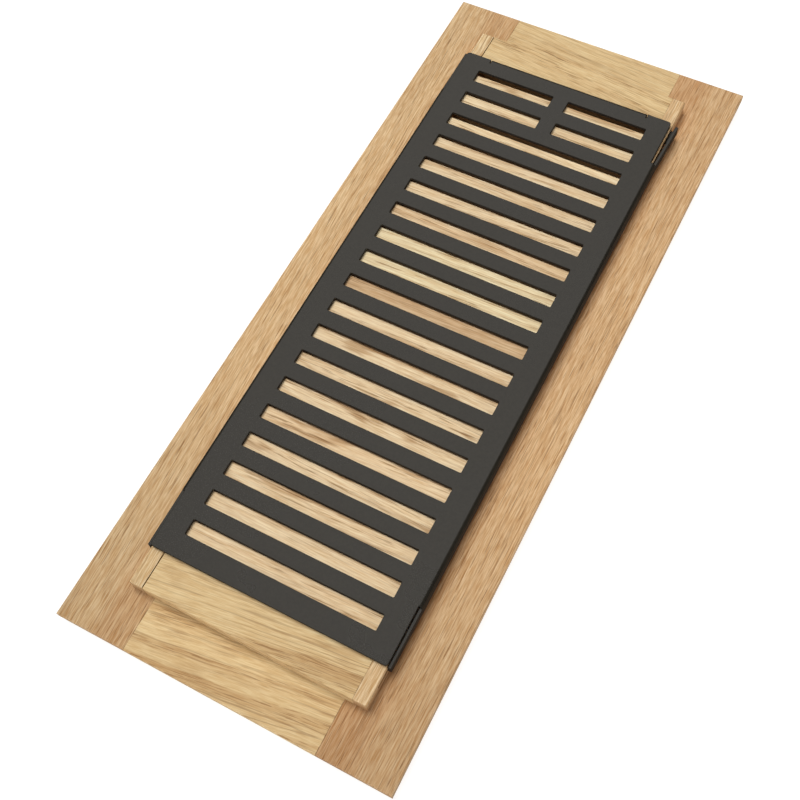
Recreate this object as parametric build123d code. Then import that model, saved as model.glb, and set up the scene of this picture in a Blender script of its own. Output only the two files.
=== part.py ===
from build123d import *
import os

# Floor register of the drop-in kind, whose rim rests on the floor. It lies on its show face.
# The origin is the centre of the show face. +X runs along the slats, +Y along the
# frame towards the end with the damper's lever, and +Z from the show face to the duct.
# All sizes are in millimetres.

# Oak grille
SLAT_COUNT = 19
SLAT_PITCH = 13.67
SLAT_WIDTH = 8.2
AIRWAY_WIDTH = 82.0
LEDGE_WIDTH = 3.7
STRIP_WIDTH = 5.7
RAIL_LAND = 17.9
SIDE_FLANGE = 21.1
END_FLANGE = 21.75
FLANGE_THICKNESS = 8.3
STEP_HEIGHT = 7.6
RIM_ROUND = 5.0
ARRIS = 0.5
OPEN_JOINT = 0.35
SET_BACK = 1.2
SET_BACK_SLATS = (1, 3)

# Folded steel damper
SHEET = 1.2
BEND_INSIDE = 0.4
FLANGE_DEPTH = 6.4
SLOT_WIDTH = 6.7
SLOT_CORNER = 0.5
SLOT_SHIFT = 0.65
BRIDGE_WIDTH = 7.2
BRIDGED_ROWS = 2
PLATE_MARGIN = 8.75
PLATE_CORNER = 1.2
FINGER_LENGTH = 24.5
FINGER_SPLAY = -0.15
BENT_FINGER_SPLAY = 1.0
BENT_SLIT = 0.85
HOOK_LENGTH = 7.0
HOOK_BITE = 1.0
LIP_WIDTH = 76.4
LIP_LEG = 0.2
LIP_REACH = 0.7
RELIEF_WIDTH = 0.5
RELIEF_DEPTH = 2.2

# Lever
LEVER_WIDTH = 5.0
LEVER_CORNER = 1.4
LEVER_RECESS = 1.0
LEVER_NOTCH_CORNER = 1.0

# Clearances
SIDE_CLEARANCE = 0.5
LIP_CLEARANCE = 0.3
HOOK_CLEARANCE = 0.35
LEVER_CLEARANCE = 0.6
SAME_PLACE = 0.001

# Places in the grille
slat_gap = SLAT_PITCH - SLAT_WIDTH
core_top = FLANGE_THICKNESS + STEP_HEIGHT
airway_half = AIRWAY_WIDTH / 2
ledge_half = airway_half + LEDGE_WIDTH
core_half = ledge_half + STRIP_WIDTH
outer_half = core_half + SIDE_FLANGE
row_half = SLAT_PITCH * (SLAT_COUNT - 1) / 2
opening_end = row_half + SLAT_WIDTH / 2 + slat_gap
core_end = opening_end + RAIL_LAND
outer_end = core_end + END_FLANGE

# Places in the damper, closed: it slides by half a pitch towards -Y to open
travel = SLAT_PITCH / 2
bend_outside = BEND_INSIDE + SHEET
cap_half = core_half + SIDE_CLEARANCE + SHEET
plate_under = core_top + LIP_CLEARANCE + LIP_LEG + BEND_INSIDE
plate_top = plate_under + SHEET
flange_foot = plate_top - FLANGE_DEPTH
plate_end = row_half + SLOT_WIDTH / 2 + PLATE_MARGIN
finger_root = plate_end - FINGER_LENGTH
lip_end = plate_end + LIP_REACH


def row_y(number):
    """Place of a row of the grille, counted from the far end."""
    return row_half - SLAT_PITCH * (number - 1)


def slat_y(number):
    """Place of a slat as it is glued: two of them sit a little off their rows."""
    set_back = SET_BACK if number in SET_BACK_SLATS else 0.0
    return row_y(number) - set_back


# The lever hangs from the bridge in the gap behind the last bridged row
lever_y = row_y(BRIDGED_ROWS) + travel


def block(x_span, y_span, z_span):
    """A squared block between three pairs of planes, each pair in either order."""
    spans = [sorted(span) for span in (x_span, y_span, z_span)]
    sizes = [high - low for low, high in spans]
    centre = [(low + high) / 2 for low, high in spans]
    return Pos(*centre) * Box(*sizes)


def edges_at(edges, axis, *places):
    """Those edges whose middle lies at one of the places along an axis."""
    found = ShapeList()
    for place in places:
        found += edges.filter_by_position(axis, place - SAME_PLACE, place + SAME_PLACE)
    return found


def outline_edges(body, level, half, end):
    """Edges of a piece at one level that lie on a rectangle round the origin."""
    edges = edges_at(body.edges(), Axis.Z, level)
    return edges_at(edges, Axis.X, -half, half) + edges_at(edges, Axis.Y, -end, end)


def hook_groove(side, end):
    """Stopped groove in a stile's core, in which the hook of one finger runs."""
    hook_ends = sorted((end * plate_end, end * (plate_end - HOOK_LENGTH)))
    y_span = (hook_ends[0] - travel - HOOK_CLEARANCE, hook_ends[1] + HOOK_CLEARANCE)
    z_span = (flange_foot - HOOK_CLEARANCE, flange_foot + SHEET + HOOK_CLEARANCE)
    floor = core_half - HOOK_BITE - HOOK_CLEARANCE
    return block((side * floor, side * core_half), y_span, z_span)


def stile(side):
    """Long side member: flange, ledge for the slats and raised strip of the core."""
    board = block((side * airway_half, side * outer_half), (-outer_end, outer_end), (0, FLANGE_THICKNESS))
    strip = block((side * ledge_half, side * core_half), (-core_end, core_end), (FLANGE_THICKNESS, core_top))
    body = board + strip
    body = fillet(outline_edges(body, 0, outer_half, outer_end), RIM_ROUND)
    arrises = outline_edges(body, FLANGE_THICKNESS, outer_half, outer_end)
    arrises += outline_edges(body, core_top, core_half, core_end)
    body = fillet(arrises, ARRIS)
    for end in (-1, 1):
        body -= hook_groove(side, end)
    return body


def rail(end):
    """End member, lapped over both ledges, with the left lap a little short."""
    board = block((-airway_half, airway_half), (end * opening_end, end * outer_end), (0, FLANGE_THICKNESS))
    land_span = (OPEN_JOINT - ledge_half, ledge_half)
    land = block(land_span, (end * opening_end, end * core_end), (FLANGE_THICKNESS, core_top))
    body = board + land
    body = fillet(outline_edges(body, 0, outer_half, outer_end), RIM_ROUND)
    arrises = outline_edges(body, FLANGE_THICKNESS, outer_half, outer_end)
    arrises += outline_edges(body, core_top, core_half, core_end)
    arrises += edges_at(edges_at(body.edges(), Axis.Y, end * opening_end), Axis.Z, 0, core_top)
    return fillet(arrises, ARRIS)


def lever_notch():
    """Notch in a slat, into which the lever moves when the damper opens."""
    far = lever_y + SHEET / 2 + LEVER_CLEARANCE
    near = lever_y - travel - SHEET / 2 - LEVER_CLEARANCE
    outline = Rectangle(LEVER_WIDTH + 2 * LEVER_CLEARANCE, far - near)
    outline = fillet(outline.vertices(), LEVER_NOTCH_CORNER)
    return Pos(0, (near + far) / 2, 0) * extrude(outline, core_top)


def slat(number):
    """One slat, lapped at both ends on the stiles' ledges."""
    y_span = (slat_y(number) - SLAT_WIDTH / 2, slat_y(number) + SLAT_WIDTH / 2)
    blade = block((-airway_half, airway_half), y_span, (0, FLANGE_THICKNESS))
    back = block((OPEN_JOINT - ledge_half, ledge_half), y_span, (FLANGE_THICKNESS, core_top))
    body = blade + back
    long_edges = edges_at(body.edges().filter_by(Axis.X), Axis.Y, *y_span)
    body = fillet(edges_at(long_edges, Axis.Z, 0, core_top), ARRIS)
    if number == BRIDGED_ROWS:
        body -= lever_notch()
    return body


def cap_section():
    """Section across the core: plate, two bends and two flanges."""
    from_top = (Align.CENTER, Align.MAX)
    outside = Pos(0, plate_top) * Rectangle(2 * cap_half, FLANGE_DEPTH, align=from_top)
    outside = fillet(outside.vertices().group_by(Axis.Y)[-1], bend_outside)
    inside = Pos(0, plate_under) * Rectangle(2 * (cap_half - SHEET), FLANGE_DEPTH, align=from_top)
    inside = fillet(inside.vertices().group_by(Axis.Y)[-1], BEND_INSIDE)
    return outside - inside


def upright(outline, foot, height):
    """A flat outline stood up from the level of its foot."""
    return Pos(0, 0, foot) * extrude(make_face(outline), height, dir=(0, 0, 1))


def finger(side, end):
    """Spring finger: a flange's end, slit free, with its tip's foot turned in. One is bent outwards."""
    bent = side > 0 and end > 0
    splay = BENT_FINGER_SPLAY if bent else FINGER_SPLAY
    root = end * finger_root
    tip = end * plate_end
    hook_start = end * (plate_end - HOOK_LENGTH)
    hook_tip = side * (core_half - HOOK_BITE)
    inner = cap_half - SHEET
    splay_at_hook = splay * (FINGER_LENGTH - HOOK_LENGTH) / FINGER_LENGTH
    strip = Polyline(
        (side * inner, root),
        (side * cap_half, root),
        (side * (cap_half + splay), tip),
        (side * (inner + splay), tip),
        close=True,
    )
    turned_in = Polyline(
        (hook_tip, hook_start),
        (side * (inner + splay_at_hook), hook_start),
        (side * (inner + splay), tip),
        (hook_tip, tip),
        close=True,
    )
    blade = upright(strip, flange_foot, FLANGE_DEPTH - bend_outside)
    return blade + upright(turned_in, flange_foot, SHEET)


def lip():
    """Lip turned down at the plate's far end, on which the plate rides."""
    bend_start = lip_end - bend_outside
    bend_foot = plate_top - bend_outside
    lip_foot = bend_foot - LIP_LEG
    outer_bend = RadiusArc((bend_start, plate_top), (lip_end, bend_foot), bend_outside)
    leg_inside = lip_end - SHEET
    leg = Polyline((lip_end, bend_foot), (lip_end, lip_foot), (leg_inside, lip_foot), (leg_inside, bend_foot))
    inner_bend = RadiusArc((leg_inside, bend_foot), (bend_start, plate_under), -BEND_INSIDE)
    root = Line((bend_start, plate_under), (bend_start, plate_top))
    section = make_face([outer_bend, leg, inner_bend, root])
    return extrude(Plane.YZ * section, LIP_WIDTH / 2, both=True)


def plate():
    """Flat of the damper, cut back beside the bent finger and, at the far edge, for the lip."""
    half = cap_half - bend_outside
    slit = Rectangle(BENT_SLIT, FINGER_LENGTH, align=(Align.MAX, Align.MIN))
    outline = Rectangle(2 * half, 2 * plate_end) - Pos(half, finger_root) * slit
    rows = outline.vertices().group_by(Axis.Y)
    outline = fillet(rows[0] + rows[-1], PLATE_CORNER)
    flat = Pos(0, 0, plate_under) * extrude(outline, SHEET)
    z_span = (plate_under, plate_top)
    lip_half = LIP_WIDTH / 2
    relief_end = plate_end - RELIEF_DEPTH
    flat -= block((-lip_half, lip_half), (lip_end - bend_outside, plate_end), z_span)
    for side in (-1, 1):
        flat -= block((side * lip_half, side * (lip_half + RELIEF_WIDTH)), (relief_end, plate_end), z_span)
    return flat


def slot(centre_x, length):
    """Outline of one slot, with its corners eased."""
    return Pos(centre_x, 0) * fillet(Rectangle(length, SLOT_WIDTH).vertices(), SLOT_CORNER)


def row_of_slots(number):
    """Cutters for one row: a full slot, or two short ones beside the bridge."""
    short = (AIRWAY_WIDTH - BRIDGE_WIDTH) / 2
    offset = (BRIDGE_WIDTH + short) / 2
    if number > BRIDGED_ROWS:
        outlines = [slot(0, AIRWAY_WIDTH)]
    else:
        outlines = [slot(-offset, short), slot(offset, short)]
    slots_y = row_y(number) + SLOT_SHIFT
    return [Pos(0, slots_y, plate_under) * extrude(outline, SHEET) for outline in outlines]


def damper():
    """Damper cap, folded from one slotted sheet."""
    channel = extrude(Plane.XZ * cap_section(), finger_root, both=True)
    fingers = [finger(side, end) for side in (-1, 1) for end in (-1, 1)]
    cap = channel + plate() + lip() + fingers
    for number in range(1, SLAT_COUNT + 1):
        cap -= row_of_slots(number)
    return cap


def lever():
    """Tongue welded on edge under the bridge, ending short of the show face."""
    height = plate_under - LEVER_RECESS
    outline = Pos(0, LEVER_RECESS) * Rectangle(LEVER_WIDTH, height, align=(Align.CENTER, Align.MIN))
    outline = fillet(outline.vertices().group_by(Axis.Y)[0], LEVER_CORNER)
    return Pos(0, lever_y, 0) * extrude(Plane.XZ * outline, SHEET / 2, both=True)


pieces = {
    "left_stile": stile(-1),
    "right_stile": stile(1),
    "near_rail": rail(-1),
    "far_rail": rail(1),
    "damper": damper(),
    "lever": lever(),
}
for slat_number in range(1, SLAT_COUNT + 1):
    pieces[f"slat_{slat_number:02d}"] = slat(slat_number)

os.makedirs("parts", exist_ok=True)
for name, solid in pieces.items():
    export_step(solid, f"parts/{name}.step")
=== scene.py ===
import math
import random
from typing import NamedTuple

import bpy
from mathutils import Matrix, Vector


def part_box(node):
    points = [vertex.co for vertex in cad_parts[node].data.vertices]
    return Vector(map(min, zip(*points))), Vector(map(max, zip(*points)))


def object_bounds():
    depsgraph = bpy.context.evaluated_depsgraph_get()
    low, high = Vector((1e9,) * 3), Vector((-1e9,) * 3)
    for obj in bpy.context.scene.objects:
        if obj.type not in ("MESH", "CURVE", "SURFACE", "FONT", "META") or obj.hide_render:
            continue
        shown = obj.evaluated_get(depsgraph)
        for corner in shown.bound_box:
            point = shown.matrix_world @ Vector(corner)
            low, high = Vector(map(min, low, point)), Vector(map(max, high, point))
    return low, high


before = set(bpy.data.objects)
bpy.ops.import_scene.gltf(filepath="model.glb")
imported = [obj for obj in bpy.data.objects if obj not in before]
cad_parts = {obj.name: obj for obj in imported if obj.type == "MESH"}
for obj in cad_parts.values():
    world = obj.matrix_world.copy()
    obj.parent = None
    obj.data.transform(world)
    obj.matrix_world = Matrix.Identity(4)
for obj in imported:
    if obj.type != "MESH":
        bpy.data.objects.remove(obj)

bl_info = {
    "name": "Floor register finishes",
    "version": (1, 0, 0),
    "blender": (4, 5, 0),
    "location": "3D View > Sidebar > Register",
    "description": "Dresses an oak floor register with its sliding steel damper, and sets it on a stage",
    "category": "Object",
}

# The register lies on its show face: +X along the slats, +Y along the stiles, +Z to the duct. Metres.
CAD_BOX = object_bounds()
MM = 0.001
WHITE = Vector((1.0, 1.0, 1.0))


# Settings


def from_srgb(red, green, blue):
    """Linear colour of an 8-bit display colour."""
    shares = (red / 255, green / 255, blue / 255)
    return tuple(s / 12.92 if s <= 0.04045 else ((s + 0.055) / 1.055) ** 2.4 for s in shares)


def colour(name, description, default):
    """A colour that a user may change."""
    return bpy.props.FloatVectorProperty(
        name=name, description=description, subtype="COLOR", size=3, min=0.0, max=2.0, default=default
    )


def length(name, description, default):
    """A length that a user may change."""
    return bpy.props.FloatProperty(
        name=name, description=description, unit="LENGTH", min=0.0, precision=5, default=default
    )


def share(name, description, default):
    """A strength that a user may change."""
    return bpy.props.FloatProperty(
        name=name, description=description, subtype="FACTOR", min=0.0, default=default
    )


def power(name, description, default):
    """A lamp's power that a user may change."""
    return bpy.props.FloatProperty(name=name, description=description, unit="POWER", default=default)


def place(name, description, default):
    """A place that a user may change."""
    return bpy.props.FloatVectorProperty(
        name=name, description=description, subtype="TRANSLATION", unit="LENGTH", default=default
    )


class OakSettings(bpy.types.PropertyGroup):
    """Colours and figure of the oak"""

    stile_pale: colour("Stile latewood", "Paler wood of the stiles", from_srgb(224, 189, 143))
    stile_ring: colour("Stile earlywood", "Darker wood of the stiles", from_srgb(182, 140, 95))
    rail_pale: colour("Rail latewood", "Paler wood of the rails", from_srgb(222, 194, 146))
    rail_ring: colour("Rail earlywood", "Darker wood of the rails", from_srgb(186, 146, 98))
    slat_pale: colour("Slat latewood", "Paler wood of the slats", from_srgb(239, 213, 173))
    slat_ring: colour("Slat earlywood", "Darker wood of the slats", from_srgb(210, 172, 127))
    yellow: colour("Yellow slats", "Tint of the slats from yellower boards", (1.06, 1.15, 1.16))
    # The pale tint also lights slats 1 and 2 as painted light, where they lie in shade near the lever's
    # bridge
    pale: colour("Pale slats", "Tint of the slats from paler boards", (1.08, 1.11, 1.12))
    tan: colour("Tan slats", "Tint of the slats from browner boards", (1.0, 0.97, 0.95))
    brown: colour("Brown slats", "Tint of the slats from the darkest boards", (0.83, 0.755, 0.7))
    right_tint: colour("Right stile", "Tint of the right stile, from a redder board", (0.972, 0.928, 0.913))
    near_rail_tone: share("Near rail", "Tone of the near rail", 0.99)
    far_rail_tone: share("Far rail", "Tone of the far rail", 1.085)
    # The near and far end tones darken the stiles' ends as painted shade, standing in for light falling off
    # there
    near_end_shade: share("Near ends", "Tone of the stiles' near ends", 0.78)
    far_end_shade: share("Far ends", "Tone of the stiles' far ends", 0.94)
    core_tint: colour("Core", "Tint of the stiles' core, from paler wood", (0.97, 1.05, 1.11))
    # Painted shade on the flange beside the core's foot, where the core and damper cast their shadow
    foot_shade_tint: colour("Foot", "Tint of the stiles beside the core's foot", (0.94, 0.865, 0.82))
    # Painted shade on the sides that look into the airway, where the gaps lie in shadow
    airway_side_shade: colour("Sawn sides", "Tint of the sawn sides that look into the airway", (0.6, 0.53, 0.46))
    pore: colour("Pores", "Bottom of the open pores", from_srgb(132, 92, 54))
    joint: colour("Joints", "Glue lines between the members", from_srgb(74, 46, 24))
    stile_spacing: length("Stile rings", "Distance between growth rings in the stiles", 1.3 * MM)
    rail_spacing: length("Rail rings", "Distance between growth rings in the rails", 4.2 * MM)
    slat_spacing: length("Slat rings", "Distance between growth rings in the slats", 2.6 * MM)
    relief: length("Relief", "Depth of the pores and fibres", 0.07 * MM)
    joint_width: length("Joint width", "Width of the glue lines", 0.22 * MM)


class CoatSettings(bpy.types.PropertyGroup):
    """Powder coat of the damper"""

    coat: colour("Coat", "Colour of the powder coat", from_srgb(36, 33, 27))
    edge: colour("Edge", "Colour where the coat has thinned along edges", from_srgb(50, 47, 40))
    # Upright faces: the sheet's cut walls have this colour, and on the flanges it is painted shade
    cut: colour("Upright faces", "Colour of the sheet's cut walls and its flanges", from_srgb(33, 28, 24))
    peel: length("Orange peel", "Size of the coat's fine waves", 1.1 * MM)


class StageSettings(bpy.types.PropertyGroup):
    """Floor, light and camera"""

    floor: colour("Floor", "Colour of the floor before its glow", (0.3, 0.3, 0.3))
    floor_size: length("Floor size", "Side of the square floor", 12.0)
    glow: share("Floor glow", "How far the floor lights itself, as a light table does", 0.85)
    backdrop: share("Backdrop", "Strength of the round pale backdrop, high at the far left", 1.2)
    room: share("Room", "Strength of the dim room round the backdrop", 0.04)
    tent: share("Tent", "Strength of the low pale cloth at the near side", 0.45)
    surround: share("Surround", "Tone of the surroundings as the camera sees them", 0.9)
    backdrop_tint: colour("Backdrop tint", "Colour of the backdrop", (1.0, 0.97, 0.92))
    backdrop_side: bpy.props.FloatVectorProperty(
        name="Backdrop side",
        description="Direction towards the middle of the backdrop",
        subtype="DIRECTION",
        default=(-0.25, 0.42, 0.872),
    )
    key_power: power("Key light", "Power of the softbox overhead", 17.1)
    key_place: place("Key place", "Where the softbox hangs", (-0.28, 0.02, 1.6))
    key_size: length("Key size", "Side of the softbox", 0.75)
    fill_power: power("Fill light", "Power of the low softbox at the near side", 6.0)
    fill_place: place("Fill place", "Where the near softbox stands", (-0.2, -1.5, 0.45))
    fill_size: length("Fill size", "Side of the two low softboxes", 1.0)
    side_power: power("Side light", "Power of the low softbox at the right", 3.6)
    side_place: place("Side place", "Where the right softbox stands", (1.5, -0.3, 0.4))
    under_power: power("Under light", "Power of the lamp that lights the show face", 14.0)
    under_place: place("Under place", "Where the lamp for the show face stands", (0.1, 0.5, -1.8))
    under_size: length("Under size", "Side of the lamp for the show face", 0.35)
    camera_place: place("Camera place", "Where the camera stands", (0.118451, -0.206715, 0.411347))
    camera_turn: bpy.props.FloatVectorProperty(
        name="Camera turn",
        description="How the camera is turned",
        subtype="EULER",
        default=tuple(math.radians(angle) for angle in (26.924, 3.220, 27.782)),
    )
    lens: bpy.props.FloatProperty(name="Lens", description="Focal length", unit="CAMERA", default=50.41)


# Node helpers


def connect(tree, socket, value):
    """Feeds a socket from another socket, or sets it to a plain value."""
    if isinstance(value, bpy.types.NodeSocket):
        tree.links.new(value, socket)
    else:
        socket.default_value = value


def add_node(tree, kind, inputs, **settings):
    """A node with its settings and inputs, each input by name or number."""
    made = tree.nodes.new(kind)
    for name, value in settings.items():
        setattr(made, name, value)
    for key, value in inputs.items():
        connect(tree, made.inputs[key], value)
    return made


def calc(tree, operation, *values):
    """A number worked out from one to three others."""
    return add_node(tree, "ShaderNodeMath", dict(enumerate(values)), operation=operation).outputs[0]


def vector(tree, operation, *values):
    """A vector worked out from others."""
    return add_node(tree, "ShaderNodeVectorMath", dict(enumerate(values)), operation=operation).outputs[0]


def measure(tree, operation, *values):
    """A number worked out from vectors."""
    inputs = dict(enumerate(values))
    return add_node(tree, "ShaderNodeVectorMath", inputs, operation=operation).outputs["Value"]


def axes_of(tree, value):
    """The X, Y and Z of a vector."""
    return add_node(tree, "ShaderNodeSeparateXYZ", {0: value}).outputs


def coordinates_in(tree):
    """Texture coordinates: the materials use Object and Normal, and the world uses Generated."""
    return tree.nodes.new("ShaderNodeTexCoord").outputs


def ramp(tree, value, low, high, bottom=0.0, top=1.0):
    """A smooth step of a number, from bottom at low to top at high."""
    inputs = {"Value": value, "From Min": low, "From Max": high, "To Min": bottom, "To Max": top}
    return add_node(tree, "ShaderNodeMapRange", inputs, interpolation_type="SMOOTHSTEP").outputs[0]


def mix(tree, factor, first, second, blend_type="MIX"):
    """Two colours mixed."""
    inputs = {0: factor, 6: first, 7: second}
    return add_node(tree, "ShaderNodeMix", inputs, data_type="RGBA", blend_type=blend_type).outputs[2]


def noise(tree, spot, scale, detail=2.0, roughness=0.5):
    """Noise whose patches are 1 / scale metres along each axis."""
    stretched = vector(tree, "MULTIPLY", spot, scale)
    inputs = {"Vector": stretched, "Scale": 1.0, "Detail": detail, "Roughness": roughness}
    return add_node(tree, "ShaderNodeTexNoise", inputs).outputs


def new_group(name, inputs, outputs):
    """An empty node group with its sockets, and the sockets of its input and output nodes."""
    tree = bpy.data.node_groups.new(name, "ShaderNodeTree")
    for direction, sockets in (("INPUT", inputs), ("OUTPUT", outputs)):
        for socket_name, kind in sockets.items():
            tree.interface.new_socket(name=socket_name, in_out=direction, socket_type="NodeSocket" + kind)
    return tree, tree.nodes.new("NodeGroupInput").outputs, tree.nodes.new("NodeGroupOutput").inputs


def use_group(tree, name, make, inputs):
    """Outputs of a shared node group, which is built the first time that it is used."""
    made = tree.nodes.new("ShaderNodeGroup")
    made.node_tree = bpy.data.node_groups.get(name) or make()
    for key, value in inputs.items():
        connect(tree, made.inputs[key], value)
    return made.outputs


def new_material(name):
    """An empty material and its Principled shader."""
    material = bpy.data.materials.new(name)
    material.use_nodes = True
    return material, material.node_tree, material.node_tree.nodes["Principled BSDF"]


# Eased edges, which the oak and the coat share

EDGE_EASE = 0.3 * MM
EDGE_BAND = (0.98, 0.8)
BEVEL_SAMPLES = 6


def edge_group():
    """Eased edges: a rounded normal, and a mask of where it departs from the true one."""
    tree, given, result = new_group("Edges", {"Radius": "Float"}, {"Mask": "Float", "Normal": "Vector"})
    rounded = add_node(tree, "ShaderNodeBevel", {"Radius": given["Radius"]}, samples=BEVEL_SAMPLES).outputs[0]
    plain = tree.nodes.new("ShaderNodeNewGeometry").outputs["Normal"]
    connect(tree, result["Mask"], ramp(tree, measure(tree, "DOT_PRODUCT", rounded, plain), *EDGE_BAND))
    connect(tree, result["Normal"], rounded)
    return tree


# Oak

# How often a feature repeats in a metre: along the board, and across it both ways
WANDER_SCALE = (3.5, 14.0, 14.0)
WAVER_SCALE = (28.0, 60.0, 60.0)
CLOUD_SCALE = (9.0, 110.0, 110.0)
PATCH_SCALE = (45.0, 260.0, 260.0)
LINE_SCALE = (48.0, 1650.0, 1650.0)
FIBRE_SCALE = (170.0, 2400.0, 2400.0)
PORE_SCALE = (85.0, 2700.0, 2700.0)
THREAD_SCALE = (5.0, 330.0, 330.0)

# Stretch of its noise over which a feature comes in
CLOUD_BAND = (0.36, 0.64)
PATCH_BAND = (0.52, 0.68)
PORE_BAND = (0.55, 0.64)
THREAD_BAND = (0.008, 0.04)
GRAIN_BAND = (0.34, 0.66)
GRAIN_SWING = (-0.16, 0.14)

# Growth rings: how far they waver beside their wander, how uneven they are, and where in a ring the early
# wood is full and where it has faded
WAVER_SHARE = (0.35, 0.35, 0.35)
UNEVEN_SCALE = 0.45
UNEVENNESS = 1.6
EARLY_FULL = 0.08
EARLY_END = 0.6

# Rings and threads fade to this share between the clouds
BETWEEN_CLOUDS = 0.4

# How thickly the pores stand in the early wood, in the patches and elsewhere
PORES_EARLY = 0.7
PORES_PATCH = 0.25
PORES_ELSEWHERE = 0.2

# How much a feature changes the colour; the lines and fibres change red least and blue most
CLOUD_SHARE = 0.13
PATCH_BROWN = 0.3
PORE_SHARE = 0.7
GRAIN_COLOUR = (0.6, 1.0, 1.5)
END_BAND = (0.35, 0.95)
END_SHARE = 0.2
END_BROWN = 0.5
# Darkening of the eased edges: partly wear, partly painted shade that damps their highlight
EDGE_WEAR_AND_SHADE = 0.5
GLUE_SHARE = 0.45

# Surface: the more open the grain, the rougher. Heights are shares of the relief.
OPEN_BAND = (0.2, 1.4)
OAK_ROUGHNESS = (0.56, 0.82)
OAK_SPECULAR = 0.3
OAK_BUMP = 0.6
PORE_HEIGHT = -1.0
FIBRE_HEIGHT = 0.35
EARLY_HEIGHT = -0.2
GLUE_HEIGHT = -1.0

# Where the members meet: at the airway's sides below the rim's back, and behind the ledges above it
RIM_BACK = 8.3 * MM
AIRWAY_HALF = 41.0 * MM
AIRWAY_END = 132.6 * MM
LEDGE_HALF = 44.7 * MM
CORE_HALF = 50.4 * MM
HAIR = 0.1 * MM

# Glue lines: how often their gaps repeat in a metre, how the gaps come in, and how soft the lines are
GAP_SCALE = (40.0, 260.0, 40.0)
GAP_BAND = (0.42, 0.58)
GAP_STRENGTH = (0.1, 1.0)
GLUE_BAND = (0.0, 0.8)

# Where the stiles change tone: towards the near and far ends, as painted shade where the light falls off,
# along the core, up its side, and at its foot, as painted shade beside the core
NEAR_FADE = (-170 * MM, -30 * MM)
FAR_FADE = (70 * MM, 170 * MM)
CORE_FADE = (-150 * MM, 150 * MM)
CORE_TONES = (1.0, 1.12)
CORE_RISE = 7 * MM
FOOT_SHADE_WIDTH = 10 * MM

# Painted shade on the sides that look into the airway, where the gaps between the members lie in shadow: how
# squarely a face looks along the stiles, and how far past the airway's end it may lie
SIDE_SHADE_BAND = (0.6, 0.95)
SIDE_SHADE_REACH = 1 * MM


class Board(NamedTuple):
    """Board that a member is cut from.

    Pith is where the tree's centre lies across the board, turn lays the grain, in degrees, seed tells one
    tree from another, and figure holds the Oak group's inputs that differ from board to board.
    """

    pith: tuple
    turn: float
    seed: float
    figure: dict


def bend_grain(tree, board, reach):
    """The board's coordinates, pushed sideways so that the grain wanders along it and wavers a little."""
    middle = (0.5, 0.5, 0.5)
    wander = vector(tree, "SUBTRACT", noise(tree, board, WANDER_SCALE)["Color"], middle)
    waver = vector(tree, "SUBTRACT", noise(tree, board, WAVER_SCALE)["Color"], middle)
    bend = vector(tree, "MULTIPLY_ADD", waver, WAVER_SHARE, wander)
    across = add_node(tree, "ShaderNodeCombineXYZ", {"X": 0.0, "Y": reach, "Z": reach})
    return vector(tree, "ADD", board, vector(tree, "MULTIPLY", bend, across.outputs[0]))


def early_wood(tree, bent, spacing):
    """Share of early wood in uneven growth rings round a pith at the origin."""
    radius = measure(tree, "LENGTH", vector(tree, "MULTIPLY", bent, (0.0, 1.0, 1.0)))
    count = calc(tree, "DIVIDE", radius, spacing)
    along_rings = {"W": count, "Scale": UNEVEN_SCALE, "Detail": 1.0}
    uneven = add_node(tree, "ShaderNodeTexNoise", along_rings, noise_dimensions="1D").outputs[0]
    phase = calc(tree, "FRACT", calc(tree, "MULTIPLY_ADD", uneven, UNEVENNESS, count))
    rise = ramp(tree, phase, 0.0, EARLY_FULL)
    fade = ramp(tree, phase, EARLY_FULL, EARLY_END, 1.0, 0.0)
    return calc(tree, "MULTIPLY", rise, fade)


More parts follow.
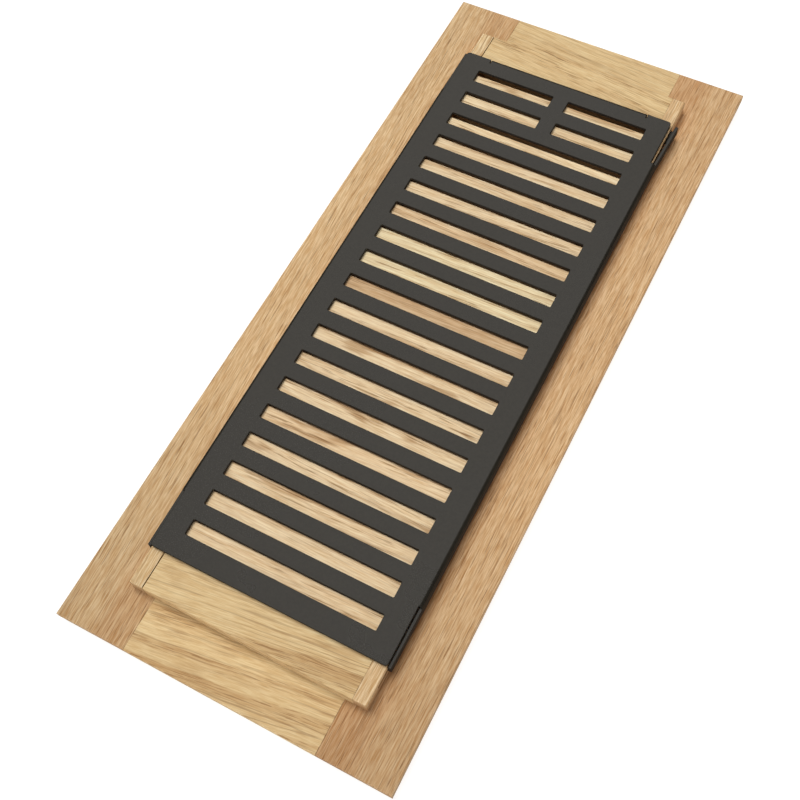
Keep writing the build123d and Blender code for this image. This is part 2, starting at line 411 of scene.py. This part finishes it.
def oak_group():
    """Solid oak, with rings, clouds, lines, fibres, pores and threads, whose grain runs along X."""
    inputs = {
        "Board": "Vector",
        "Facing": "Vector",
        "Pale": "Color",
        "Ring": "Color",
        "Pore": "Color",
        "Ring Spacing": "Float",
        "Ring Strength": "Float",
        "Wander": "Float",
        "Lines": "Float",
        "Fibre": "Float",
        "Pores": "Float",
        "Patches": "Float",
        "Threads": "Float",
    }
    outputs = {"Color": "Color", "Roughness": "Float", "Height": "Float"}
    tree, given, result = new_group("Oak", inputs, outputs)
    bent = bend_grain(tree, given["Board"], given["Wander"])
    early = early_wood(tree, bent, given["Ring Spacing"])

    # Broad clouds and patches of colour, long lines and short fibres
    cloud = ramp(tree, noise(tree, bent, CLOUD_SCALE)[0], *CLOUD_BAND)
    cloudy = calc(tree, "MULTIPLY_ADD", cloud, 1 - BETWEEN_CLOUDS, BETWEEN_CLOUDS)
    patch = ramp(tree, noise(tree, bent, PATCH_SCALE)[0], *PATCH_BAND)
    line = noise(tree, bent, LINE_SCALE, roughness=0.6)[0]
    fibre = noise(tree, bent, FIBRE_SCALE, roughness=0.6)[0]

    # Open pores, which gather in the early wood and the patches
    dash = ramp(tree, noise(tree, bent, PORE_SCALE, detail=1.0)[0], *PORE_BAND)
    outside_early = calc(tree, "MULTIPLY_ADD", patch, PORES_PATCH, PORES_ELSEWHERE)
    crowd = calc(tree, "MULTIPLY_ADD", early, PORES_EARLY, outside_early)
    open_pores = calc(tree, "MULTIPLY", dash, calc(tree, "MULTIPLY", crowd, given["Pores"]))

    # Thin dark threads, along the middle level of a long noise
    level = calc(tree, "SUBTRACT", noise(tree, bent, THREAD_SCALE, detail=1.0)[0], 0.5)
    thread = ramp(tree, calc(tree, "ABSOLUTE", level), *THREAD_BAND, 1.0, 0.0)
    thread = calc(tree, "MULTIPLY", thread, cloudy)

    # Colour
    ring_share = calc(tree, "MULTIPLY", calc(tree, "MULTIPLY", early, cloudy), given["Ring Strength"])
    wood = mix(tree, ring_share, given["Pale"], given["Ring"])
    wood = mix(tree, calc(tree, "MULTIPLY", cloud, CLOUD_SHARE), wood, given["Ring"])
    brown = mix(tree, PATCH_BROWN, given["Ring"], given["Pore"])
    wood = mix(tree, calc(tree, "MULTIPLY", patch, given["Patches"]), wood, brown)
    tone = calc(tree, "MULTIPLY", ramp(tree, line, *GRAIN_BAND, *GRAIN_SWING), given["Lines"])
    tone = calc(tree, "MULTIPLY_ADD", ramp(tree, fibre, *GRAIN_BAND, *GRAIN_SWING), given["Fibre"], tone)
    wood = mix(tree, 1.0, wood, vector(tree, "MULTIPLY_ADD", tone, GRAIN_COLOUR, WHITE), "MULTIPLY")
    wood = mix(tree, calc(tree, "MULTIPLY", open_pores, PORE_SHARE), wood, given["Pore"])
    wood = mix(tree, calc(tree, "MULTIPLY", thread, given["Threads"]), wood, given["Pore"])

    # End grain is a little darker
    end_facing = calc(tree, "ABSOLUTE", axes_of(tree, given["Facing"])["X"])
    end_share = ramp(tree, end_facing, *END_BAND, 0.0, END_SHARE)
    wood = mix(tree, end_share, wood, mix(tree, END_BROWN, given["Ring"], given["Pore"]))
    connect(tree, result["Color"], wood)

    # Surface
    open_grain = calc(tree, "ADD", fibre, open_pores)
    connect(tree, result["Roughness"], ramp(tree, open_grain, *OPEN_BAND, *OAK_ROUGHNESS))
    fibres = calc(tree, "MULTIPLY", fibre, FIBRE_HEIGHT)
    grooves = calc(tree, "MULTIPLY_ADD", open_pores, PORE_HEIGHT, fibres)
    connect(tree, result["Height"], calc(tree, "MULTIPLY_ADD", early, EARLY_HEIGHT, grooves))
    return tree


def joint_group():
    """Mask of the glue lines on both sides of the airway, broken here and there."""
    tree, given, result = new_group("Joints", {"Place": "Vector", "Width": "Float"}, {"Mask": "Float"})
    axes = axes_of(tree, given["Place"])
    above = calc(tree, "GREATER_THAN", axes["Z"], RIM_BACK + HAIR)
    line = calc(tree, "MULTIPLY_ADD", above, LEDGE_HALF - AIRWAY_HALF, AIRWAY_HALF)
    off = calc(tree, "ABSOLUTE", calc(tree, "SUBTRACT", calc(tree, "ABSOLUTE", axes["X"]), line))
    near = calc(tree, "SUBTRACT", 1.0, calc(tree, "DIVIDE", off, given["Width"]))
    broken = ramp(tree, noise(tree, given["Place"], GAP_SCALE)[0], *GAP_BAND, *GAP_STRENGTH)
    connect(tree, result["Mask"], calc(tree, "MULTIPLY", ramp(tree, near, *GLUE_BAND), broken))
    return tree


def oak_material(name, pale, ring, spacing, board):
    """Oak for one member, from the colours of its late and early wood, its ring spacing and its board."""
    oak = bpy.context.scene.oak
    material, tree, shader = new_material(name)
    coordinates = coordinates_in(tree)
    turn = (0.0, 0.0, math.radians(board.turn))
    from_pith = (board.seed, -board.pith[0], -board.pith[1])
    laid = {"Vector": coordinates["Object"], "Location": from_pith, "Rotation": turn}
    faced = {"Vector": coordinates["Normal"], "Rotation": turn}
    inputs = {
        "Board": add_node(tree, "ShaderNodeMapping", laid).outputs[0],
        "Facing": add_node(tree, "ShaderNodeMapping", faced, vector_type="VECTOR").outputs[0],
        "Pale": (*pale, 1.0),
        "Ring": (*ring, 1.0),
        "Pore": (*oak.pore, 1.0),
        "Ring Spacing": spacing,
        **board.figure,
    }
    grain = use_group(tree, "Oak", oak_group, inputs)
    edges = use_group(tree, "Edges", edge_group, {"Radius": EDGE_EASE})
    lines = {"Place": coordinates["Object"], "Width": oak.joint_width}
    joints = use_group(tree, "Joints", joint_group, lines)
    # Eased edges take some earlywood colour, partly as wear and partly as painted shade over the highlight on
    # their rounding
    worn_and_shaded = mix(tree, calc(tree, "MULTIPLY", edges["Mask"], EDGE_WEAR_AND_SHADE), grain["Color"], (*ring, 1.0))
    glued = mix(tree, calc(tree, "MULTIPLY", joints["Mask"], GLUE_SHARE), worn_and_shaded, (*oak.joint, 1.0))
    connect(tree, shader.inputs["Base Color"], glued)
    connect(tree, shader.inputs["Roughness"], grain["Roughness"])
    height = calc(tree, "MULTIPLY_ADD", joints["Mask"], GLUE_HEIGHT, grain["Height"])
    relief = {"Strength": OAK_BUMP, "Distance": oak.relief, "Height": height, "Normal": edges["Normal"]}
    connect(tree, shader.inputs["Normal"], add_node(tree, "ShaderNodeBump", relief).outputs[0])
    shader.inputs["Specular IOR Level"].default_value = OAK_SPECULAR
    return material


def tone_stile(material):
    """Darkens a stile's oak towards its ends and beside the core's foot as painted shade, and makes its core
    paler.
    """
    oak = bpy.context.scene.oak
    tree = material.node_tree
    base = tree.nodes["Principled BSDF"].inputs["Base Color"]
    wood = base.links[0].from_socket
    axes = axes_of(tree, coordinates_in(tree)["Object"])
    # Painted shade: the flange darkens towards the near and far ends, where the light falls off
    near = ramp(tree, axes["Y"], *NEAR_FADE, oak.near_end_shade, 1.0)
    far = ramp(tree, axes["Y"], *FAR_FADE, 1.0, oak.far_end_shade)
    # Painted shade: the flange darkens beside the core's foot, where the core and damper shade it
    foot_shade = ramp(tree, calc(tree, "ABSOLUTE", axes["X"]), CORE_HALF, CORE_HALF + FOOT_SHADE_WIDTH, 1.0, 0.0)
    flange = mix(tree, 1.0, wood, calc(tree, "MULTIPLY", near, far), "MULTIPLY")
    flange = mix(tree, foot_shade, flange, (*oak.foot_shade_tint, 1.0), "MULTIPLY")
    core = mix(tree, 1.0, wood, ramp(tree, axes["Y"], *CORE_FADE, *CORE_TONES), "MULTIPLY")
    core = mix(tree, 1.0, core, (*oak.core_tint, 1.0), "MULTIPLY")
    raised = ramp(tree, axes["Z"], RIM_BACK, RIM_BACK + CORE_RISE)
    connect(tree, base, mix(tree, raised, flange, core))


def shade_airway_sides(material):
    """Darkens the sides that look into the airway with painted shade, for the shadowed gaps between the
    members.
    """
    tree = material.node_tree
    base = tree.nodes["Principled BSDF"].inputs["Base Color"]
    coordinates = coordinates_in(tree)
    lengthwise = calc(tree, "ABSOLUTE", axes_of(tree, coordinates["Normal"])["Y"])
    off_middle = calc(tree, "ABSOLUTE", axes_of(tree, coordinates["Object"])["Y"])
    inside = calc(tree, "LESS_THAN", off_middle, AIRWAY_END + SIDE_SHADE_REACH)
    side_shade = calc(tree, "MULTIPLY", ramp(tree, lengthwise, *SIDE_SHADE_BAND), inside)
    side_shade_colour = (*bpy.context.scene.oak.airway_side_shade, 1.0)
    connect(tree, base, mix(tree, side_shade, base.links[0].from_socket, side_shade_colour, "MULTIPLY"))


def tinted(tint, *tones):
    """Colours of the wood, each times a tint."""
    return [Vector(tone) * tint for tone in tones]


# Powder coat

COAT_CLOUD_SCALE = (30.0, 30.0, 30.0)

# Bands of the noises, and the tones, shares and roughness that they give
MOTTLE_BAND = (0.3, 0.7)
MOTTLE_TONES = (0.9, 1.1)
PEEL_TONES = (0.88, 1.12)
THIN_BAND = (0.35, 0.65)
THIN_SHARES = (0.1, 0.6)
SMOOTH_BAND = (0.25, 0.75)
COAT_ROUGHNESS = (0.24, 0.31)

# Upright faces: how squarely a face looks sideways, and how much rougher it is
UPRIGHT_BAND = (0.8, 0.97)
UPRIGHT_ROUGHER = 0.6

# Bump: the grit is finer and lower than the waves
GRIT_FINENESS = 4
GRIT_HEIGHT = 0.3
COAT_BUMP = 0.5
COAT_RELIEF = 0.05 * MM


def coat_material():
    """Matt powder coat with fine waves, a little mottled, thinner along edges, darker on upright faces: the
    sheet's cut walls, and painted shade on its flanges.
    """
    finish = bpy.context.scene.coat
    material, tree, shader = new_material("powder_coat")
    coordinates = coordinates_in(tree)
    spot = coordinates["Object"]
    wave = 1 / finish.peel
    fine = GRIT_FINENESS * wave
    peel = noise(tree, spot, (wave, wave, wave))[0]
    grit = noise(tree, spot, (fine, fine, fine), detail=1.0)[0]
    cloud = noise(tree, spot, COAT_CLOUD_SCALE, detail=3.0)[0]
    edges = use_group(tree, "Edges", edge_group, {"Radius": EDGE_EASE})
    facing = axes_of(tree, coordinates["Normal"])
    sideways = calc(tree, "MAXIMUM", *[calc(tree, "ABSOLUTE", facing[axis]) for axis in "XY"])
    upright = ramp(tree, sideways, *UPRIGHT_BAND)

    # Colour
    mottle = ramp(tree, cloud, *MOTTLE_BAND, *MOTTLE_TONES)
    tone = calc(tree, "MULTIPLY", mottle, ramp(tree, peel, *MOTTLE_BAND, *PEEL_TONES))
    coat = mix(tree, 1.0, (*finish.coat, 1.0), tone, "MULTIPLY")
    thin = calc(tree, "MULTIPLY", edges["Mask"], ramp(tree, cloud, *THIN_BAND, *THIN_SHARES))
    coat = mix(tree, thin, coat, (*finish.edge, 1.0))
    # Upright faces take the darker colour: real on the cut walls, painted shade on the flanges
    connect(tree, shader.inputs["Base Color"], mix(tree, upright, coat, (*finish.cut, 1.0)))

    # Surface
    smooth = ramp(tree, cloud, *SMOOTH_BAND, *COAT_ROUGHNESS)
    connect(tree, shader.inputs["Roughness"], calc(tree, "MULTIPLY_ADD", upright, UPRIGHT_ROUGHER, smooth))
    height = calc(tree, "MULTIPLY_ADD", grit, GRIT_HEIGHT, peel)
    relief = {"Strength": COAT_BUMP, "Distance": COAT_RELIEF, "Height": height, "Normal": edges["Normal"]}
    connect(tree, shader.inputs["Normal"], add_node(tree, "ShaderNodeBump", relief).outputs[0])
    return material


# Members of the frame

ALONG_Y = -90.0
STILE_FIGURE = {
    "Ring Strength": 0.25,
    "Wander": 3 * MM,
    "Lines": 0.75,
    "Fibre": 1.25,
    "Pores": 1.0,
    "Patches": 0.1,
    "Threads": 0.15,
}
RAIL_FIGURE = {"Wander": 5 * MM, "Lines": 0.4, "Fibre": 0.7}
NEAR_RAIL_FIGURE = {**RAIL_FIGURE, "Ring Strength": 0.7, "Pores": 0.85, "Patches": 0.3, "Threads": 0.5}
FAR_RAIL_FIGURE = {**RAIL_FIGURE, "Ring Strength": 0.3, "Pores": 1.1, "Patches": 0.1, "Threads": 0.25}
STILE_BOARDS = {
    "left_stile": Board((-0.16, -0.05), ALONG_Y - 2.5, 1.3, STILE_FIGURE),
    "right_stile": Board((0.19, -0.06), ALONG_Y + 0.5, 4.9, STILE_FIGURE),
}
RAIL_BOARDS = {
    "near_rail": Board((-0.13, -0.045), -8.0, 8.2, NEAR_RAIL_FIGURE),
    "far_rail": Board((0.17, -0.05), 6.0, 11.6, FAR_RAIL_FIGURE),
}

# Each slat's board is drawn at random: its pith across and below, the turn of its grain and its tone
SLAT_COUNT = sum(name.startswith("slat_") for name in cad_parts)
SLAT_DRAWS = 41
PITH_ACROSS = (-0.06, 0.06)
PITH_BELOW = (-0.09, -0.02)
SLAT_TURN = (-2.5, 2.5)
SLAT_TONE = (0.99, 1.01)
FIRST_TREE = 20.0
NEXT_TREE = 1.7
SLAT_FIGURE = {
    "Ring Strength": 0.4,
    "Wander": 3 * MM,
    "Lines": 0.65,
    "Fibre": 0.65,
    "Pores": 1.0,
    "Threads": 0.2,
}
PLAIN_PATCHES = 0.25
FIGURED_PATCHES = 0.8

# Slats that stand out from the others in the photo, counted from the far end
YELLOW_SLATS = (8, 9)
# Slats 1 and 2 take the pale tint as painted light, against the shade near the lever's bridge
PALE_AND_LIT_SLATS = (1, 2, 3)
TAN_SLATS = (7, 15)
BROWN_SLATS = (10,)
FIGURED_SLATS = (1, 12, 13, 14, 15, 16, 17)


def dress(name, material):
    """Gives a node of the frame its finish."""
    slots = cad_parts[name].data.materials
    slots.clear()
    slots.append(material)


class FLOORREGISTER_OT_stiles(bpy.types.Operator):
    """Finish the two stiles in straight-grained oak"""

    bl_idname = "floor_register.stiles"
    bl_label = "Finish stiles"

    def execute(self, context):
        oak = context.scene.oak
        tints = {"left_stile": WHITE, "right_stile": Vector(oak.right_tint)}
        for name, board in STILE_BOARDS.items():
            tones = tinted(tints[name], oak.stile_pale, oak.stile_ring)
            finish = oak_material(name + "_oak", *tones, oak.stile_spacing, board)
            tone_stile(finish)
            dress(name, finish)
        return {"FINISHED"}


class FLOORREGISTER_OT_rails(bpy.types.Operator):
    """Finish the two end rails in figured oak"""

    bl_idname = "floor_register.rails"
    bl_label = "Finish rails"

    def execute(self, context):
        oak = context.scene.oak
        tints = {"near_rail": oak.near_rail_tone * WHITE, "far_rail": oak.far_rail_tone * WHITE}
        for name, board in RAIL_BOARDS.items():
            tones = tinted(tints[name], oak.rail_pale, oak.rail_ring)
            finish = oak_material(name + "_oak", *tones, oak.rail_spacing, board)
            shade_airway_sides(finish)
            dress(name, finish)
        return {"FINISHED"}


class FLOORREGISTER_OT_slats(bpy.types.Operator):
    """Finish the slats in pale oak, each from another board"""

    bl_idname = "floor_register.slats"
    bl_label = "Finish slats"

    def execute(self, context):
        oak = context.scene.oak
        odd_tints = {
            YELLOW_SLATS: oak.yellow,
            PALE_AND_LIT_SLATS: oak.pale,
            TAN_SLATS: oak.tan,
            BROWN_SLATS: oak.brown,
        }
        draw = random.Random(SLAT_DRAWS)
        for number in range(1, SLAT_COUNT + 1):
            name = f"slat_{number:02d}"
            low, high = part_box(name)
            pith = ((low.y + high.y) / 2 + draw.uniform(*PITH_ACROSS), draw.uniform(*PITH_BELOW))
            turn = draw.uniform(*SLAT_TURN)
            tint = draw.uniform(*SLAT_TONE) * WHITE
            for numbers, odd_tint in odd_tints.items():
                if number in numbers:
                    tint = Vector(odd_tint)
            patches = FIGURED_PATCHES if number in FIGURED_SLATS else PLAIN_PATCHES
            tree_seed = FIRST_TREE + NEXT_TREE * number
            board = Board(pith, turn, tree_seed, {**SLAT_FIGURE, "Patches": patches})
            tones = tinted(tint, oak.slat_pale, oak.slat_ring)
            finish = oak_material(name + "_oak", *tones, oak.slat_spacing, board)
            shade_airway_sides(finish)
            dress(name, finish)
        return {"FINISHED"}


class FLOORREGISTER_OT_damper(bpy.types.Operator):
    """Coat the folded damper and its lever"""

    bl_idname = "floor_register.damper"
    bl_label = "Coat damper"

    def execute(self, context):
        material = coat_material()
        for name in ("damper", "lever"):
            dress(name, material)
        return {"FINISHED"}


# Stage

# The floor lies a hair below the show face. Its glow starts and is full this far inside the rim's outline.
FLOOR_DROP = 0.2 * MM
FLOOR_ROUGHNESS = 0.9
GLOW_START = 9 * MM
GLOW_FULL = 3 * MM

# The backdrop's edge, as cosines from its middle, and the tent's edge and top, as parts of a direction
BACKDROP_BAND = (0.865, 0.915)
TENT_EDGE = (0.05, -0.3)
TENT_TOP = (0.7, 0.4)
MIRRORED_DROP = -0.5

# Nothing nearer to the camera than this is drawn
CLIP_START = 10 * MM


def floor_material(stage):
    """Pale floor that glows round the register, but not under it, and is seen through from below."""
    material, tree, shader = new_material("pale_floor")
    shader.inputs["Base Color"].default_value = (*stage.floor, 1.0)
    shader.inputs["Roughness"].default_value = FLOOR_ROUGHNESS
    axes = axes_of(tree, coordinates_in(tree)["Object"])
    beside = []
    for axis, half in zip("XY", CAD_BOX[1]):
        off_middle = calc(tree, "ABSOLUTE", axes[axis])
        beside.append(ramp(tree, off_middle, half - GLOW_START, half - GLOW_FULL))
    uncovered = calc(tree, "MAXIMUM", *beside)
    glow = add_node(tree, "ShaderNodeCombineColor", {0: uncovered, 1: uncovered, 2: uncovered})
    connect(tree, shader.inputs["Emission Color"], glow.outputs[0])
    shader.inputs["Emission Strength"].default_value = stage.glow
    see_through = tree.nodes.new("ShaderNodeBsdfTransparent").outputs[0]
    below = tree.nodes.new("ShaderNodeNewGeometry").outputs["Backfacing"]
    surface = add_node(tree, "ShaderNodeMixShader", {0: below, 1: shader.outputs[0], 2: see_through})
    connect(tree, tree.nodes["Material Output"].inputs["Surface"], surface.outputs[0])
    return material


def lay_floor(context, stage):
    """The floor, which lets the lamp below it through and isn't mirrored in the coat."""
    bpy.ops.object.select_all(action="DESELECT")
    bpy.ops.mesh.primitive_plane_add(size=stage.floor_size, location=(0.0, 0.0, -FLOOR_DROP))
    floor = context.object
    floor.name = "floor"
    floor.data.materials.append(floor_material(stage))
    floor.visible_glossy = False
    floor.visible_shadow = False


def set_surroundings(context, stage):
    """A round backdrop in a dim room and a low tent at the near side, all plain and pale to the camera."""
    world = bpy.data.worlds.new("studio")
    world.use_nodes = True
    air = world.node_tree
    background = air.nodes["Background"]
    background.inputs["Color"].default_value = (*stage.backdrop_tint, 1.0)
    look = coordinates_in(air)["Generated"]
    axes = axes_of(air, look)
    path = air.nodes.new("ShaderNodeLightPath").outputs
    facing = measure(air, "DOT_PRODUCT", look, stage.backdrop_side)
    backdrop = ramp(air, facing, *BACKDROP_BAND, stage.room, stage.backdrop)

    # The tent that the coat mirrors is taller than the one that lights the wood
    height = calc(air, "MULTIPLY_ADD", path["Is Glossy Ray"], MIRRORED_DROP, axes["Z"])
    near_side = ramp(air, axes["Y"], *TENT_EDGE, 0.0, stage.tent)
    tent = calc(air, "MULTIPLY", near_side, ramp(air, height, *TENT_TOP))
    strengths = {0: path["Is Camera Ray"], 2: calc(air, "MAXIMUM", backdrop, tent), 3: stage.surround}
    connect(air, background.inputs["Strength"], add_node(air, "ShaderNodeMix", strengths).outputs[0])
    context.scene.world = world


def hang_softboxes(context, stage):
    """Square lamps that look at the register and aren't mirrored in the coat."""
    softboxes = (
        ("key_light", stage.key_power, stage.key_place, stage.key_size),
        ("fill_light", stage.fill_power, stage.fill_place, stage.fill_size),
        ("side_light", stage.side_power, stage.side_place, stage.fill_size),
        ("under_light", stage.under_power, stage.under_place, stage.under_size),
    )
    for name, energy, spot, size in softboxes:
        lamp = bpy.data.lights.new(name, "AREA")
        lamp.energy = energy
        lamp.size = size
        softbox = bpy.data.objects.new(name, lamp)
        softbox.location = spot
        softbox.rotation_euler = (-Vector(spot)).to_track_quat("-Z", "Y").to_euler()
        softbox.visible_glossy = False
        context.scene.collection.objects.link(softbox)


def stand_camera(context, stage):
    """The camera, at the photo's viewing angle."""
    camera = bpy.data.objects.new("camera", bpy.data.cameras.new("camera"))
    camera.location = stage.camera_place
    camera.rotation_euler = stage.camera_turn
    camera.data.lens = stage.lens
    camera.data.clip_start = CLIP_START
    context.scene.collection.objects.link(camera)
    context.scene.camera = camera
    context.scene.view_settings.view_transform = "Standard"


class FLOORREGISTER_OT_stage(bpy.types.Operator):
    """Lay the floor, hang the lights and stand the camera"""

    bl_idname = "floor_register.stage"
    bl_label = "Set stage"

    def execute(self, context):
        stage = context.scene.stage
        lay_floor(context, stage)
        set_surroundings(context, stage)
        hang_softboxes(context, stage)
        stand_camera(context, stage)
        return {"FINISHED"}


# Panel and registration

STEPS = (
    FLOORREGISTER_OT_stiles,
    FLOORREGISTER_OT_rails,
    FLOORREGISTER_OT_slats,
    FLOORREGISTER_OT_damper,
    FLOORREGISTER_OT_stage,
)


class FLOORREGISTER_PT_finishes(bpy.types.Panel):
    """Steps and settings of the floor register"""

    bl_idname = "FLOORREGISTER_PT_finishes"
    bl_label = "Floor register"
    bl_space_type = "VIEW_3D"
    bl_region_type = "UI"
    bl_category = "Register"

    def draw(self, context):
        for step in STEPS:
            self.layout.operator(step.bl_idname)
        for settings in (context.scene.oak, context.scene.coat, context.scene.stage):
            box = self.layout.box()
            for name in settings.bl_rna.properties.keys():
                if name not in ("rna_type", "name"):
                    box.prop(settings, name)


SETTINGS = {"oak": OakSettings, "coat": CoatSettings, "stage": StageSettings}


def register():
    """Adds the settings to the scene, and the steps and the panel to the program."""
    for name, group in SETTINGS.items():
        bpy.utils.register_class(group)
        setattr(bpy.types.Scene, name, bpy.props.PointerProperty(type=group))
    for step in (*STEPS, FLOORREGISTER_PT_finishes):
        bpy.utils.register_class(step)


def unregister():
    """Takes away what register added."""
    for step in (*STEPS, FLOORREGISTER_PT_finishes):
        bpy.utils.unregister_class(step)
    for name, group in SETTINGS.items():
        delattr(bpy.types.Scene, name)
        bpy.utils.unregister_class(group)


def main():
    """Registers the steps and runs them in order."""
    register()
    bpy.ops.floor_register.stiles()
    bpy.ops.floor_register.rails()
    bpy.ops.floor_register.slats()
    bpy.ops.floor_register.damper()
    bpy.ops.floor_register.stage()


if __name__ == "__main__":
    main()
